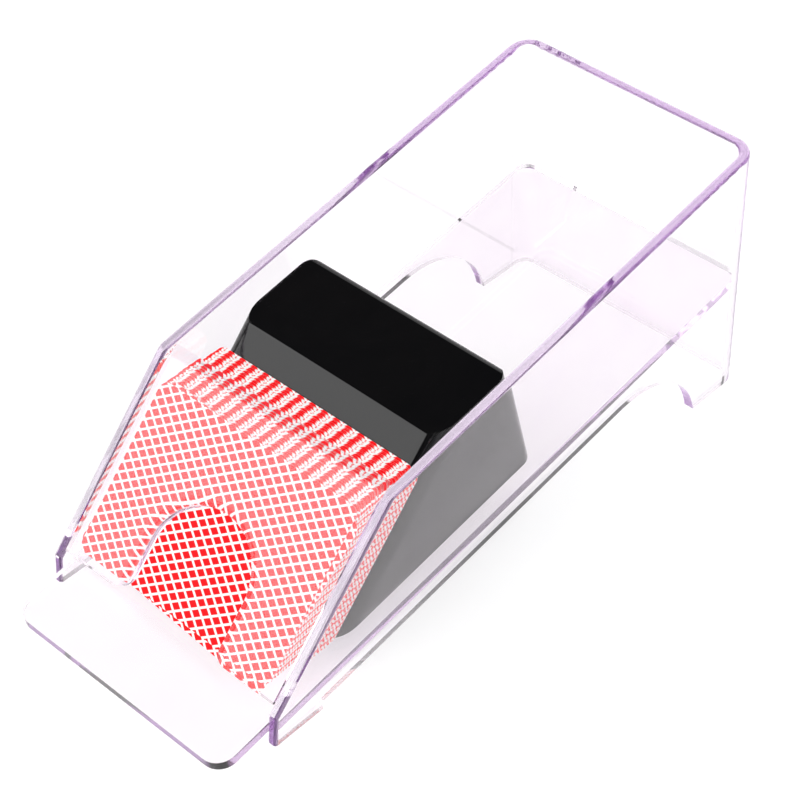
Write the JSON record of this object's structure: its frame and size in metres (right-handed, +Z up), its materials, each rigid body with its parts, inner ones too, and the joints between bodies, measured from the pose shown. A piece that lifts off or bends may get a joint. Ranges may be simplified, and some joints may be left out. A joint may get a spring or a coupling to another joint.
{
  "type": "card dealing shoe",
  "caption": "Clear acrylic dealing shoe that holds a red-backed deck of playing cards against its front plate with a heavy black roller follower.",
  "frame": {"origin": "centre of the footprint, on the table", "axes": "+Z up, -Y towards the dealer, where the cards come out, +X to the right when seen from the dealer's side"},
  "size_m": [0.104, 0.2614, 0.1042],
  "materials": {
    "clear_acrylic": "polished clear sheet",
    "black_plastic": "polished black",
    "nylon": "natural white",
    "steel": "bright drawn",
    "ballast_steel": "sawn bar, oiled",
    "card_paper": "coated card, red lattice back"
  },
  "bodies": {
    "shoe": {"side_shell": "clear_acrylic", "floor_plate": "clear_acrylic", "front_plate": "clear_acrylic"},
    "follower": {"follower_cover": "black_plastic", "follower_base": "black_plastic", "ballast": "ballast_steel", "front_axle": "steel", "rear_axle": "steel", "axle_clips": "steel", "base_screws": "steel", "ballast_screws": "steel"},
    "deck": {"card_packet_1": "card_paper", "card_packet_2": "card_paper", "card_packet_3": "card_paper", "card_packet_4": "card_paper", "back_card": "card_paper"},
    "front_card": {"front_card": "card_paper"},
    "front_left_roller": {"front_left_roller": "nylon"},
    "front_right_roller": {"front_right_roller": "nylon"},
    "rear_left_roller": {"rear_left_roller": "nylon"},
    "rear_right_roller": {"rear_right_roller": "nylon"}
  },
  "joints": [
    {"name": "follower_slide", "type": "slide", "parent": "shoe", "child": "follower", "axis": [0, 0.984, 0.1781], "range_m": [0, 0.1045]},
    {"name": "deck_lift", "type": "slide", "parent": "follower", "child": "deck", "axis": [0, 0.6683, 0.7439], "range_m": [0, 0.07]},
    {"name": "front_card_slide", "type": "slide", "parent": "deck", "child": "front_card", "axis": [0, 0.6683, 0.7439], "range_m": [-0.0067, 0.07]},
    {"name": "front_left_roller_spin", "type": "hinge", "parent": "follower", "child": "front_left_roller", "pos_m": [-0.03, -0.05605, 0.02233], "axis": [1, 0, 0], "continuous": true},
    {"name": "front_right_roller_spin", "type": "hinge", "parent": "follower", "child": "front_right_roller", "pos_m": [0.03, -0.05605, 0.02233], "axis": [1, 0, 0], "continuous": true},
    {"name": "rear_left_roller_spin", "type": "hinge", "parent": "follower", "child": "rear_left_roller", "pos_m": [-0.03, 0.00348, 0.0331], "axis": [1, 0, 0], "continuous": true},
    {"name": "rear_right_roller_spin", "type": "hinge", "parent": "follower", "child": "rear_right_roller", "pos_m": [0.03, 0.00348, 0.0331], "axis": [1, 0, 0], "continuous": true}
  ],
  "couplings": [
    {"joint": "front_left_roller_spin", "follows": "follower_slide", "rad_per_m": -217.39},
    {"joint": "front_right_roller_spin", "follows": "follower_slide", "rad_per_m": -217.39},
    {"joint": "rear_left_roller_spin", "follows": "follower_slide", "rad_per_m": -217.39},
    {"joint": "rear_right_roller_spin", "follows": "follower_slide", "rad_per_m": -217.39}
  ]
}
